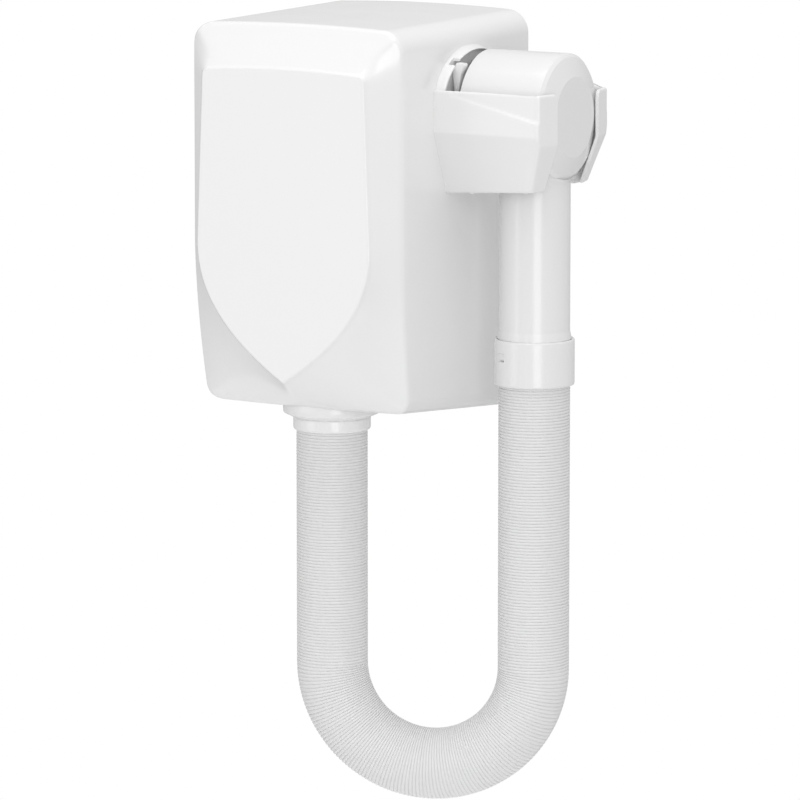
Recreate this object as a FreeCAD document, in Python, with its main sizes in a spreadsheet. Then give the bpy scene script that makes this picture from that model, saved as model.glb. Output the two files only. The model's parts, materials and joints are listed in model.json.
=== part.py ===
"""Wall-mounted hair dryer with an air hose and a hand-held outlet head, as a parametric FreeCAD document.

Row frame, in millimetres: the origin is the centre of the wall plate's back face, the wall is the plane Y = 0,
-Y points out into the room, +Z is up and +X is the side that carries the handset holder.
"""

import FreeCAD, Part

import math
import os
import re
import sys

import Sketcher

Vector = FreeCAD.Vector
doc = FreeCAD.newDocument("HairDryer")
sub_parts = {}

# ---------------------------------------------------------------- driving dimensions
DIMENSIONS = [
    # housing
    ("CoverHalfWidth", 66.5), ("CoverTop", 106.3), ("CoverFrontBottom", -108), ("CoverWallBottom", -120.5),
    ("CoverFront", -145), ("FrontSweep", 10.8), ("CoverWall", 2.5), ("TopCorner", 14), ("BottomCorner", 9.5),
    # raised shield on the front
    ("ShieldFace", -162), ("ShieldHalfWidth", 54.6), ("ShieldTopHalfWidth", 51), ("ShieldTop", 82),
    ("ShieldShoulder", -14.5), ("ShieldTip", -91.2), ("ShieldTaper", 2.2), ("ShieldCorner", 3),
    # wall plate and its fixings
    ("PlateHalfWidth", 62), ("PlateTop", 101), ("PlateBottom", -115.5), ("PlateThick", 3), ("PlateCorner", 12),
    ("WallHoleX", 45), ("WallHoleZ", 75), ("WallHoleRadius", 2.5),
    ("InletX", -40), ("InletZ", -90), ("InletRadius", 7),
    # air column: blower, heater and outlet share this vertical axis
    ("ColumnY", -107.5), ("BlowerRadius", 50), ("BlowerTop", 42), ("SheetWall", 2),
    ("HeaterRadius", 30), ("HeaterTop", -28), ("HeaterBottom", -98),
    ("ImpellerRadius", 43), ("ImpellerBottom", 8), ("ImpellerTop", 28), ("ShaftRadius", 1.6), ("ShaftFit", 0.05),
    ("MotorRadius", 18.5), ("MotorBottom", 58), ("MotorTop", 96),
    # outlet and hose
    ("FlangeRadius", 27.4), ("FlangeBottom", -114.6), ("NeckRadius", 18.2), ("CollarRadius", 21.7),
    ("HoseStart", -123.5), ("HoseRadius", 20), ("HoseBore", 18.5),
    # handset
    ("HandsetX", 108), ("HandsetY", -70), ("DrumZ", 54.6), ("DrumRadius", 35), ("DrumWall", 2.5),
    ("DrumInner", 78), ("DrumOuter", 127), ("CapRim", 129), ("CapRimRadius", 33),
    ("CapFace", 132.7), ("CapFlatRadius", 22),
    ("TubeRadius", 19.75), ("TubeBore", 17.75), ("TubeBottom", -92.5),
    ("CuffRadius", 22.35), ("CuffBottom", -95.2), ("CuffTop", -69.5),
    # holder on the side of the housing
    ("HolderHalfWidth", 40.5), ("HolderFloor", 68), ("HolderRim", 72), ("HolderSkin", 2.4),
    ("HolderFlare", 0.8), ("SaddleRadius", 35.3),
    # switch tab, between the holder's recess and the head
    ("TabX", 68.9), ("TabY", -96), ("TabWidth", 5), ("TabFoot", 23.5), ("TabTop", 84), ("ArmHeight", 38.3),
]

sheet = doc.addObject("Spreadsheet::Sheet", "Sizes")
for row, (alias, value) in enumerate(DIMENSIONS, start=1):
    sheet.set(f"A{row}", alias)
    sheet.set(f"B{row}", str(value))
    sheet.setAlias(f"B{row}", alias)
doc.recompute()


def size(alias):
    """A driving dimension's number, for the shapes that are computed in this file."""
    return float(sheet.get(alias))


# ---------------------------------------------------------------- helpers
def bound(text):
    """An expression on the sheet, from text in which every capitalised word is an alias."""
    return re.sub(r"[A-Z][A-Za-z]+", lambda word: "Sizes." + word.group(0), str(text))


def set_place(thing, place):
    for letter, text in zip("xyz", place):
        thing.setExpression("Placement.Base." + letter, bound(text))


def turn_to(thing, along):
    """Turns a primitive that is built along +Z so that it is built along another axis."""
    turns = {"X": (Vector(0, 1, 0), 90), "Y": (Vector(1, 0, 0), -90), "-Y": (Vector(1, 0, 0), 90)}
    if along in turns:
        axis, angle = turns[along]
        thing.Placement = FreeCAD.Placement(Vector(), FreeCAD.Rotation(axis, angle))


def cylinder(radius, height, place, along="Z"):
    thing = doc.addObject("Part::Cylinder", "Cylinder")
    thing.setExpression("Radius", bound(radius))
    thing.setExpression("Height", bound(height))
    turn_to(thing, along)
    set_place(thing, place)
    return thing


def cone(radius_low, radius_high, height, place, along="Z"):
    thing = doc.addObject("Part::Cone", "Cone")
    thing.setExpression("Radius1", bound(radius_low))
    thing.setExpression("Radius2", bound(radius_high))
    thing.setExpression("Height", bound(height))
    turn_to(thing, along)
    set_place(thing, place)
    return thing


def ring(radius, section_radius, place):
    thing = doc.addObject("Part::Torus", "Ring")
    thing.setExpression("Radius1", bound(radius))
    thing.setExpression("Radius2", bound(section_radius))
    set_place(thing, place)
    return thing


def box(lengths, corner):
    """A box from its three side lengths and its lowest corner."""
    thing = doc.addObject("Part::Box", "Box")
    for side, text in zip(("Length", "Width", "Height"), lengths):
        thing.setExpression(side, bound(text))
    set_place(thing, corner)
    return thing


def cut(base, *tools):
    thing = doc.addObject("Part::Cut", "Cut")
    thing.Base = base
    thing.Tool = tools[0] if len(tools) == 1 else fuse(*tools)
    return thing


def fuse(*pieces):
    thing = doc.addObject("Part::MultiFuse", "Fuse")
    thing.Shapes = list(pieces)
    return thing


def common(*pieces):
    thing = doc.addObject("Part::MultiCommon", "Common")
    thing.Shapes = list(pieces)
    return thing


def group(*pieces):
    """Separate solids that share one node, such as identical screws."""
    thing = doc.addObject("Part::Compound", "Group")
    thing.Links = list(pieces)
    return thing


def tube(radius, bore, height, place, along="Z"):
    return cut(cylinder(radius, height, place, along), cylinder(bore, height, place, along))


def computed(shape):
    thing = doc.addObject("Part::Feature", "Computed")
    thing.Shape = shape
    return thing


def sub_part(name, thing):
    thing.Label = name
    sub_parts[name] = thing
    return thing


# ---------------------------------------------------------------- sketches and bodies
def new_body(name):
    return doc.addObject("PartDesign::Body", name)


def new_sketch(body, plane):
    sketch = body.newObject("Sketcher::SketchObject", "Sketch")
    origin_plane = [part for part in body.Origin.OriginFeatures if part.Role == plane][0]
    sketch.AttachmentSupport = [(origin_plane, "")]
    sketch.MapMode = "FlatFace"
    return sketch


def fix_point(sketch, geometry, position, place):
    """Ties a point of the sketch to two expressions on the sheet, from the sketch's origin."""
    for kind, text in zip(("DistanceX", "DistanceY"), place):
        number = sketch.addConstraint(Sketcher.Constraint(kind, -1, 1, geometry, position, 1.0))
        sketch.setExpression(f"Constraints[{number}]", bound(text))


def add_outline(sketch, corners):
    """A closed outline of straight sides through the corners, each a pair of expressions."""
    count = len(corners)
    first = sketch.GeometryCount
    turns = [2 * math.pi * k / count for k in range(count)]
    start = [Vector(math.cos(turn), math.sin(turn), 0) for turn in turns]
    for k in range(count):
        sketch.addGeometry(Part.LineSegment(start[k], start[(k + 1) % count]))
    for k in range(count):
        following = first + (k + 1) % count
        sketch.addConstraint(Sketcher.Constraint("Coincident", first + k, 2, following, 1))
        fix_point(sketch, first + k, 1, corners[k])


def add_circle(sketch, centre, radius):
    number = sketch.addGeometry(Part.Circle(Vector(1, 1, 0), Vector(0, 0, 1), 1.0))
    fix_point(sketch, number, 3, centre)
    constraint = sketch.addConstraint(Sketcher.Constraint("Radius", number, 1.0))
    sketch.setExpression(f"Constraints[{constraint}]", bound(radius))


def pad(body, sketch, length, backwards=False):
    feature = body.newObject("PartDesign::Pad", "Pad")
    feature.Profile = (sketch, [""])
    feature.setExpression("Length", bound(length))
    feature.Reversed = backwards
    return feature


def pocket_through(body, sketch):
    feature = body.newObject("PartDesign::Pocket", "Pocket")
    feature.Profile = (sketch, [""])
    feature.Type = "ThroughAll"
    feature.Midplane = True
    return feature


def turned(name, corners, place):
    """A body of revolution about its own vertical axis: corners are (radius, height) expressions."""
    body = new_body(name)
    sketch = new_sketch(body, "XZ_Plane")
    add_outline(sketch, corners)
    feature = body.newObject("PartDesign::Revolution", "Revolution")
    feature.Profile = (sketch, [""])
    feature.ReferenceAxis = (sketch, ["V_Axis"])
    feature.Angle = 360
    set_place(body, place)
    return body


def screw(radius, length, head_radius, head_height, place, along):
    """A pan-head screw whose head starts at place and whose shank runs on along the axis."""
    x, y, z = place
    shank_place = {
        "X": (f"{x} + {head_height}", y, z),
        "-Y": (x, f"{y} - {head_height}", z),
        "Z": (x, y, f"{z} + {head_height}"),
    }[along]
    return fuse(cylinder(head_radius, head_height, place, along), cylinder(radius, length, shank_place, along))


# ---------------------------------------------------------------- housing
def housing_edge(half, top, bottom, low_corner, depth, low_depth):
    """Right half of a housing outline, from the middle of the top down to the middle of the bottom."""
    high, shoulder = size("TopCorner"), size("ShieldShoulder")
    slope_depth = depth + (low_depth - depth) * 0.3
    low_half = half - 1.5
    runs = [
        (Vector(0, depth, top), Vector(half - high, depth, top)),
        (Vector(half - high, depth, top), Vector(half - 0.29 * high, depth, top - 0.29 * high),
         Vector(half, depth, top - high)),
        (Vector(half, depth, top - high), Vector(half, depth, shoulder)),
        (Vector(half, depth, shoulder), Vector(half - 0.4, slope_depth, (shoulder + bottom + low_corner) / 2),
         Vector(low_half, low_depth, bottom + low_corner)),
        (Vector(low_half, low_depth, bottom + low_corner),
         Vector(low_half - 0.29 * low_corner, low_depth, bottom + 0.29 * low_corner),
         Vector(low_half - low_corner, low_depth, bottom)),
        (Vector(low_half - low_corner, low_depth, bottom), Vector(0, low_depth, bottom)),
    ]
    return [run_edge(run) for run in runs]


def run_edge(run):
    """A straight edge through two points, or an arc through three."""
    if len(run) == 2:
        return Part.LineSegment(*run).toShape()
    return Part.Arc(*run).toShape()


def shield_edge(inset, depth):
    """Right half of the shield: straight top and side, then a curve to the tip, split to match the housing."""
    corner = size("ShieldCorner")
    top = size("ShieldTop") - inset
    half_top = size("ShieldTopHalfWidth") - inset
    half_side = size("ShieldHalfWidth") - inset
    shoulder = size("ShieldShoulder")
    drop = shoulder - size("ShieldTip") - inset
    taper = size("ShieldTaper")

    def on_curve(share):
        return Vector(half_side * (1 - share**taper), depth, shoulder - drop * share)

    runs = [
        (Vector(0, depth, top), Vector(half_top - corner, depth, top)),
        (Vector(half_top - corner, depth, top), Vector(half_top - 0.29 * corner, depth, top - 0.29 * corner),
         Vector(half_top, depth, top - corner)),
        (Vector(half_top, depth, top - corner), Vector(half_side, depth, shoulder)),
        (on_curve(0), on_curve(0.3), on_curve(0.6)),
        (on_curve(0.6), on_curve(0.68), on_curve(0.76)),
        (on_curve(0.76), on_curve(0.88), on_curve(1)),
    ]
    return [run_edge(run) for run in runs]


def closed_wire(half):
    """A closed wire from its right half, by mirroring it across the middle plane."""
    mirrored = [edge.mirror(Vector(0, 0, 0), Vector(1, 0, 0)) for edge in reversed(half)]
    return Part.Wire(Part.__sortEdges__(half + mirrored))


def housing_solid(inset, wall_depth):
    """The housing's outer form (inset 0), or its cavity (inset by the wall): wall edge, front edge, shield."""
    half, top = size("CoverHalfWidth") - inset, size("CoverTop") - inset
    front = size("CoverFront") + inset / 2
    swept = front + size("FrontSweep")
    wall = closed_wire(housing_edge(half, top, size("CoverWallBottom") + inset,
                                    size("BottomCorner"), wall_depth, wall_depth))
    edge = closed_wire(housing_edge(half, top, size("CoverFrontBottom") + inset,
                                    size("BottomCorner"), front, swept))
    shield = closed_wire(shield_edge(inset / 2, size("ShieldFace") + inset))
    return Part.makeLoft([wall, edge, shield], True, True)


def underside_height(depth):
    """Height of the housing's sloping underside at a distance out from the wall."""
    run = size("CoverFront") + size("FrontSweep")
    return size("CoverWallBottom") + (size("CoverFrontBottom") - size("CoverWallBottom")) * depth / run


UNDER_SLOPE = math.degrees(math.atan2(
    size("CoverFrontBottom") - size("CoverWallBottom"), -size("CoverFront") - size("FrontSweep")))
GRILLE_DEPTH = -46
GRILLE_HALF = (38, 17)
COVER_SCREWS = (-45, 45)
COVER_SCREW_DEPTH = -12
HOLDER_SCREWS = ((-31, -18), (31, -18), (0, 27))


def sloped_slab(half_x, half_y, low, high):
    """A slab parallel to the underside, centred on the intake, between two distances above the underside."""
    slab = Part.makeBox(2 * half_x, 2 * half_y, high - low, Vector(-half_x, -half_y, low))
    slab.rotate(Vector(0, 0, 0), Vector(1, 0, 0), -UNDER_SLOPE)
    slab.translate(Vector(0, GRILLE_DEPTH, underside_height(GRILLE_DEPTH)))
    return slab


def front_cover():
    """One-piece moulded cover, open at the wall, with holes for the outlet, intake, screws and switch arm."""
    shell = computed(housing_solid(0, 0).cut(housing_solid(size("CoverWall"), 1)))
    tools = [
        cylinder("FlangeRadius + 0.2", 30, (0, "ColumnY", "FlangeBottom - 12")),
        computed(sloped_slab(GRILLE_HALF[0] + 0.2, GRILLE_HALF[1] + 0.2, -3, 6)),
        box((6, "TabWidth", 12), ("CoverHalfWidth - 4", "TabY", "ArmHeight - 1.3")),
    ]
    for x in COVER_SCREWS:
        tools.append(cylinder(1.8, 12, (x, COVER_SCREW_DEPTH, "CoverWallBottom - 4")))
        tools.append(cylinder(3.5, 6.5, (x, COVER_SCREW_DEPTH, "CoverWallBottom - 4")))
    for y, z in HOLDER_SCREWS:
        tools.append(cylinder(1.8, 8, ("CoverHalfWidth - 5", f"HandsetY + {y}", f"DrumZ + {z}"), "X"))
    return sub_part("front_cover", cut(shell, *tools))


def chamfered_corners(half, top, bottom, corner):
    """Corner expressions of an upright rectangle with its four corners cut off."""
    return [
        (f"-({half}) + {corner}", bottom), (f"{half} - {corner}", bottom),
        (half, f"{bottom} + {corner}"), (half, f"{top} - {corner}"),
        (f"{half} - {corner}", top), (f"-({half}) + {corner}", top),
        (f"-({half})", f"{top} - {corner}"), (f"-({half})", f"{bottom} + {corner}"),
    ]


def wall_plate():
    """Back plate with a stiffening rim, four wall-screw holes and the inlet hole for the mains lead."""
    body = new_body("WallPlate")
    face = new_sketch(body, "XZ_Plane")
    add_outline(face, chamfered_corners("PlateHalfWidth", "PlateTop", "PlateBottom", "PlateCorner"))
    pad(body, face, "PlateThick")
    rim = new_sketch(body, "XZ_Plane")
    add_outline(rim, chamfered_corners("PlateHalfWidth", "PlateTop", "PlateBottom", "PlateCorner"))
    add_outline(rim, chamfered_corners(
        "PlateHalfWidth - 2.2", "PlateTop - 2.2", "PlateBottom + 2.2", "PlateCorner"))
    pad(body, rim, "PlateThick + 6")
    holes = new_sketch(body, "XZ_Plane")
    for side in ("-", ""):
        for height in ("-", ""):
            add_circle(holes, (f"{side}WallHoleX", f"{height}WallHoleZ"), "WallHoleRadius")
    add_circle(holes, ("InletX", "InletZ"), "InletRadius")
    pocket_through(body, holes)
    lugs = [lug(x) for x in COVER_SCREWS]
    return sub_part("wall_plate", fuse(body, *lugs))


def lug(x):
    """A lug on the plate's lower rim that takes one cover screw from below."""
    block = box((12, 18, 6), (f"{x} - 6", -19, "PlateBottom"))
    return cut(block, cylinder(1.5, 6, (x, COVER_SCREW_DEPTH, "PlateBottom")))


def cover_screws():
    return sub_part("cover_screws", group(*[
        screw(1.5, 7.2, 3.2, 1.2, (x, COVER_SCREW_DEPTH, "CoverWallBottom + 1.3"), "Z") for x in COVER_SCREWS]))


def intake_grille():
    """Slotted plate set flush in the sloping underside."""
    half_x, half_y = GRILLE_HALF
    plate = sloped_slab(half_x, half_y, 0, 2.5)
    for k in range(11):
        slot = Part.makeBox(3, 2 * half_y - 7, 12, Vector(-half_x + 5 + 6.3 * k, -half_y + 3.5, -4))
        slot.rotate(Vector(0, 0, 0), Vector(1, 0, 0), -UNDER_SLOPE)
        slot.translate(Vector(0, GRILLE_DEPTH, underside_height(GRILLE_DEPTH)))
        plate = plate.cut(slot)
    return sub_part("intake_grille", computed(plate))


def intake_filter():
    return sub_part("intake_filter", computed(sloped_slab(GRILLE_HALF[0] - 1, GRILLE_HALF[1] - 1, 2.5, 5.5)))


# ---------------------------------------------------------------- air column
def blower_housing():
    """Bowl round the impeller that narrows to the heater sleeve."""
    return sub_part("blower_housing", turned("BlowerHousing", [
        ("HeaterRadius - 2", "HeaterTop"), ("HeaterRadius", "HeaterTop"), ("HeaterRadius", "HeaterTop + 6"),
        ("BlowerRadius", "ImpellerBottom - 8"), ("BlowerRadius", "BlowerTop"),
        ("BlowerRadius - SheetWall", "BlowerTop"), ("BlowerRadius - SheetWall", "ImpellerBottom - 7"),
        ("HeaterRadius - 2", "HeaterTop + 7"),
    ], (0, "ColumnY", 0)))


def blower_lid():
    return sub_part("blower_lid", turned("BlowerLid", [
        (20, "BlowerTop"), ("BlowerRadius", "BlowerTop"), ("BlowerRadius", "BlowerTop + 2"),
        (24, "BlowerTop + 2"), (22, "BlowerTop + 5"), (20, "BlowerTop + 5"),
    ], (0, "ColumnY", 0)))


def blower_strap():
    """Band round the blower with two arms back to the wall plate."""
    band = tube("BlowerRadius + 2", "BlowerRadius", 10, (0, "ColumnY", 20))
    arms = [box((6, "-ColumnY - 44", 10), (x, "ColumnY + 35", 20)) for x in (-34, 28)]
    space = cylinder("BlowerRadius", 14, (0, "ColumnY", 18))
    return sub_part("blower_strap", cut(fuse(band, *arms), space))


def motor_bracket():
    """Plate under the motor, on three legs that stand on the blower lid."""
    plate = tube(24, 6, 2, (0, "ColumnY", "MotorBottom - 2"))
    legs = []
    for k in range(3):
        angle = math.radians(90 + 120 * k)
        x, y = 28 * math.cos(angle), 28 * math.sin(angle)
        legs.append(cylinder(3, "MotorBottom - BlowerTop - 2", (x, f"ColumnY + {y}", "BlowerTop + 2")))
        legs.append(cylinder(6, 2, (x, f"ColumnY + {y}", "MotorBottom - 2")))
    return sub_part("motor_bracket", fuse(plate, *legs))


def motor_can():
    return sub_part("motor_can", turned("MotorCan", [
        (4, "MotorBottom"), ("MotorRadius", "MotorBottom"), ("MotorRadius", "MotorTop"),
        ("MotorRadius - 1.5", "MotorTop"), ("MotorRadius - 1.5", "MotorBottom + 1.5"), (4, "MotorBottom + 1.5"),
    ], (0, "ColumnY", 0)))


def motor_end_cap():
    return sub_part("motor_end_cap", turned("MotorEndCap", [
        (4, "MotorTop"), ("MotorRadius", "MotorTop"), ("MotorRadius", "MotorTop + 2"),
        (8, "MotorTop + 2"), (8, "MotorTop + 4"), (4, "MotorTop + 4"),
    ], (0, "ColumnY", 0)))


def motor_bushes():
    """Two sintered bushes that carry the shaft, one in the can and one in the end cap."""
    bore = "ShaftRadius + ShaftFit"
    return sub_part("motor_bushes", group(
        tube(4, bore, 3.5, (0, "ColumnY", "MotorBottom")), tube(4, bore, 4, (0, "ColumnY", "MotorTop"))))


def motor_magnets():
    """Two curved magnets inside the can."""
    sleeve = tube("MotorRadius - 1.5", "MotorRadius - 4", 26, (0, "ColumnY", "MotorBottom + 5"))
    gap = box((12, 60, 30), (-6, "ColumnY - 30", "MotorBottom + 3"))
    return sub_part("motor_magnets", cut(sleeve, gap))


def impeller():
    """Hub and back plate with a ring of straight blades, patterned about the shaft."""
    body = new_body("Impeller")
    disc = new_sketch(body, "XY_Plane")
    add_circle(disc, (0, 0), "ImpellerRadius")
    add_circle(disc, (0, 0), "ShaftRadius")
    pad(body, disc, 1.5)
    hub = new_sketch(body, "XY_Plane")
    add_circle(hub, (0, 0), 6)
    add_circle(hub, (0, 0), "ShaftRadius")
    pad(body, hub, "ImpellerTop - ImpellerBottom")
    blade = new_sketch(body, "XY_Plane")
    add_outline(blade, [(5, 0.6), (5, -0.6), ("ImpellerRadius - 1", -0.6), ("ImpellerRadius - 1", 0.6)])
    blade_pad = pad(body, blade, "ImpellerTop - ImpellerBottom")
    doc.recompute()
    pattern = body.newObject("PartDesign::PolarPattern", "Blades")
    pattern.Originals = [blade_pad]
    pattern.Axis = (blade, ["N_Axis"])
    pattern.Angle = 360
    pattern.Occurrences = 11
    body.Tip = pattern
    set_place(body, (0, "ColumnY", "ImpellerBottom"))
    return sub_part("impeller", body)


def motor_shaft():
    return sub_part("motor_shaft", cylinder(
        "ShaftRadius", "MotorTop + 6 - ImpellerBottom", (0, "ColumnY", "ImpellerBottom")))


def armature():
    """Laminated core pressed on the shaft, with slots for its windings."""
    core = tube("MotorRadius - 5", "ShaftRadius", 20, (0, "ColumnY", "MotorBottom + 8"))
    slots = []
    for k in range(5):
        angle = math.radians(72 * k)
        x, y = 10.5 * math.cos(angle), 10.5 * math.sin(angle)
        slots.append(cylinder(2.6, 24, (x, f"ColumnY + {y}", "MotorBottom + 6")))
    return sub_part("armature", cut(core, *slots))


def heater_sleeve():
    return sub_part("heater_sleeve", tube(
        "HeaterRadius", "HeaterRadius - 1", "HeaterTop - HeaterBottom", (0, "ColumnY", "HeaterBottom")))


def heater_frame():
    """Two crossed mica boards that carry the element."""
    length = "HeaterTop - HeaterBottom - 16"
    place = "HeaterBottom + 6"
    across = box((46, 1, length), (-23, "ColumnY - 0.5", place))
    along = box((1, 46, length), (-0.5, "ColumnY - 23", place))
    return sub_part("heater_frame", fuse(across, along))


def heater_coils():
    """Resistance-wire turns round the mica cross."""
    turns = [ring(23.6, 0.6, (0, "ColumnY", f"HeaterBottom + {14 + 5 * k}")) for k in range(8)]
    return sub_part("heater_coils", group(*turns))


def thermostat():
    """Round snap-action cut-out on top of the mica cross."""
    can = cylinder(7, 4, (0, "ColumnY", "HeaterTop - 10"))
    blades = [box((5, 1, 3), (x, "ColumnY - 0.5", "HeaterTop - 6")) for x in (-6, 1)]
    return sub_part("thermostat", fuse(can, *blades))


def thermal_fuse():
    body = cylinder(2, 11, (16, "ColumnY", "HeaterTop - 8"))
    leads = cylinder(0.5, 15, (16, "ColumnY", "HeaterTop - 10"))
    return sub_part("thermal_fuse", fuse(body, leads))


def duct_seal():
    return sub_part("duct_seal", tube(
        "HeaterRadius + 1", "HeaterRadius - 4", 3, (0, "ColumnY", "HeaterBottom - 3")))


def outlet_spigot():
    """Flanged outlet: rim under the housing, lip inside it, and a neck that the hose end slides over."""
    return sub_part("outlet_spigot", turned("OutletSpigot", [
        ("NeckRadius - 1.7", "HoseStart - 8"), ("NeckRadius", "HoseStart - 8"),
        ("NeckRadius", "FlangeBottom - 1.6"),
        ("CollarRadius + 1.5", "FlangeBottom - 1.6"), ("FlangeRadius", "FlangeBottom + 0.6"),
        ("FlangeRadius", "HeaterBottom - 4.6"), ("FlangeRadius + 1.3", "HeaterBottom - 4.6"),
        ("FlangeRadius + 1.3", "HeaterBottom - 3"), ("NeckRadius - 1.7", "HeaterBottom - 3"),
    ], (0, "ColumnY", 0)))


# ---------------------------------------------------------------- electrics on the wall plate
def terminal_block():
    """Three-way block with a wire hole and a screw hole for each way."""
    block = box((30, 12, 14), (-55, "-PlateThick - 12", -66))
    wire_holes = [cylinder(1.8, 20, (x, "-PlateThick - 5", -68)) for x in (-50, -40, -30)]
    screw_holes = [cylinder(1.6, 6, (x, "-PlateThick - 7", -59), "-Y") for x in (-50, -40, -30)]
    return sub_part("terminal_block", cut(block, *wire_holes, *screw_holes))


def terminal_screws():
    return sub_part("terminal_screws", group(*[
        cylinder(1.5, 3, (x, "-PlateThick - 8", -59), "-Y") for x in (-50, -40, -30)]))


def cable_grommet():
    """Soft bush in the plate's inlet hole."""
    barrel = cylinder("InletRadius", "PlateThick", ("InletX", 0, "InletZ"), "-Y")
    flange = cylinder("InletRadius + 2", 1.5, ("InletX", "-PlateThick", "InletZ"), "-Y")
    bore = cylinder(3.6, 8, ("InletX", 1, "InletZ"), "-Y")
    return sub_part("cable_grommet", cut(fuse(barrel, flange), bore))


def cable_clamp():
    """Arched bar that grips the mains lead above its inlet."""
    bar = box((26, 5, 8), ("InletX - 13", "-PlateThick - 5", -80))
    groove = cylinder(3.5, 12, ("InletX", "-PlateThick", -82))
    holes = [cylinder(1.3, 8, (f"InletX + {x}", "-PlateThick + 1", -76), "-Y") for x in (-9, 9)]
    return sub_part("cable_clamp", cut(bar, groove, *holes))


def clamp_screws():
    return sub_part("clamp_screws", group(*[
        fuse(cylinder(1.3, 5, (f"InletX + {x}", "-PlateThick", -76), "-Y"),
             cylinder(2.6, 1.6, (f"InletX + {x}", "-PlateThick - 5", -76), "-Y")) for x in (-9, 9)]))


def control_board():
    """Timer and speed board on four posts."""
    board = box((48, 1.6, 52), (-58, "-PlateThick - 9.6", -42))
    posts = [cylinder(2.5, 8, (x, "-PlateThick", z), "-Y") for x in (-54, -14) for z in (-38, 6)]
    relay = box((16, 12, 20), (-50, "-PlateThick - 21.6", -30))
    return sub_part("control_board", fuse(board, *posts, relay))


def capacitor():
    return sub_part("capacitor", cylinder(7, 18, (-22, "-PlateThick - 9.6", -4), "-Y"))


def micro_switch():
    """Snap switch under the slider's arm, on a peg that stands on the wall plate."""
    case = box((9, 20, 11), (53, "TabY - 8", "ArmHeight - 13.3"))
    button = box((3, 3, 2), (56, "TabY + 1", "ArmHeight - 2.3"))
    stay = box((6, "-TabY - 12 - PlateThick", 5), (53, "TabY + 12", "ArmHeight - 13.3"))
    return sub_part("micro_switch", fuse(case, button, stay))


# ---------------------------------------------------------------- holder
def holder_levels():
    """Outer half-outline of a wing at each level above the drum's axis: wall end, outer corner, lip."""
    half = size("HolderHalfWidth")
    wall = size("CoverHalfWidth")
    return [
        (15, (wall, half), (131.6, 41), (135, 23.7)),
        (-9, (wall, half), (131.6, 41), (135, 23.7)),
        (-20, (wall, half - 4.6), (130, 38.5), (133.6, 23.7)),
        (-43, (wall, half - 14.1), (122, 32.4), (124.5, 22.5)),
    ]


def wing(side):
    """One wing of the holder, with the lip that turns in round the end of the head."""
    skin = size("HolderSkin")
    axis_y, axis_z = size("HandsetY"), size("DrumZ")
    sections = []
    for level, root, corner, lip in holder_levels():
        flat = [root, corner, lip, (lip[0] - skin * 0.8, lip[1]), (corner[0] - skin, corner[1] - skin),
                (root[0], root[1] - skin)]
        points = [Vector(x, axis_y + side * y, axis_z + level) for x, y in flat]
        sections.append(Part.makePolygon(points + points[:1]))
    return Part.makeLoft(sections, True, True)


def holder_outline(grow, depth):
    """Closed wire of the holder's base at a distance out from the middle plane: an arch over a tapered foot."""
    half = size("HolderHalfWidth") + grow
    _, crease, _, foot = [level for level, *_ in holder_levels()]
    spring, rise = 5, 30.5 + grow
    foot_half, foot_level = half - 14.1, foot - grow

    def at(y, level):
        return Vector(depth, size("HandsetY") + y, size("DrumZ") + level)

    def shoulder(side):
        """Quarter of an ellipse from the arch's side to its top."""
        flank, crown, middle = at(side * half, spring), at(0, spring + rise), at(0, spring)
        return Part.ArcOfEllipse(Part.Ellipse(flank, crown, middle), 0, math.pi / 2).toShape()

    corners = [at(-half, spring), at(-half, crease), at(-foot_half, foot_level),
               at(foot_half, foot_level), at(half, crease), at(half, spring)]
    edges = [shoulder(-1), shoulder(1)]
    edges += [Part.LineSegment(*pair).toShape() for pair in zip(corners, corners[1:])]
    return Part.Wire(Part.__sortEdges__(edges))


def upright_slab(depth, thick, corners):
    """A slab square to X from an outline of (distance from the drum's axis plane, level above its axis)."""
    points = [Vector(depth, size("HandsetY") + y, size("DrumZ") + level) for y, level in corners]
    return Part.Face(Part.makePolygon(points + points[:1])).extrude(Vector(thick, 0, 0))


def holder_bracket():
    """Cradle for the handset: arched base with a recess, two wings, a floor and saddle ribs under the head."""
    wall, rim, floor = size("CoverHalfWidth"), size("HolderRim"), size("HolderFloor")
    base = Part.makeLoft([holder_outline(size("HolderFlare"), wall), holder_outline(0, rim)], True, True)
    recess = Part.Face(holder_outline(-1.7, floor)).extrude(Vector(rim - floor + 1, 0, 0))
    shape = base.cut(recess)
    bed = upright_slab(floor - 1, 20, [(-26, -43), (26, -43), (26.8, -40.6), (-26.8, -40.6)])
    back_rib = upright_slab(82, 2.5, [(-39.5, -9), (39.5, -9), (34, -22), (27, -43), (-27, -43), (-34, -22)])
    outer_ribs = [upright_slab(117.5, 2.5, [(side * y, level) for y, level in (
        (24, -43), (31, -43), (36.5, -22), (39, -9), (24, -9))]) for side in (-1, 1)]
    head_space = Part.makeCylinder(size("SaddleRadius"), 80, Vector(wall, size("HandsetY"), size("DrumZ")),
                                   Vector(1, 0, 0))
    ribs = [rib.cut(head_space) for rib in [back_rib, *outer_ribs]]
    shape = shape.fuse([wing(-1), wing(1), bed, *ribs])
    tools = [box((4, "TabWidth", 12), ("HolderFloor - 3", "TabY", "ArmHeight - 1.3")),
             box((6, "TabWidth + 0.8", 20), ("HolderFloor", "TabY - 0.4", "TabTop - 12"))]
    solid = computed(shape)
    for y, z in HOLDER_SCREWS:
        solid = fuse(solid, cylinder(3.6, 5, ("HolderFloor - 0.5", f"HandsetY + {y}", f"DrumZ + {z}"), "X"))
        tools.append(cylinder(1.5, 6.5, ("CoverHalfWidth - 0.5", f"HandsetY + {y}", f"DrumZ + {z}"), "X"))
    return sub_part("holder_bracket", cut(solid, *tools))


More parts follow.
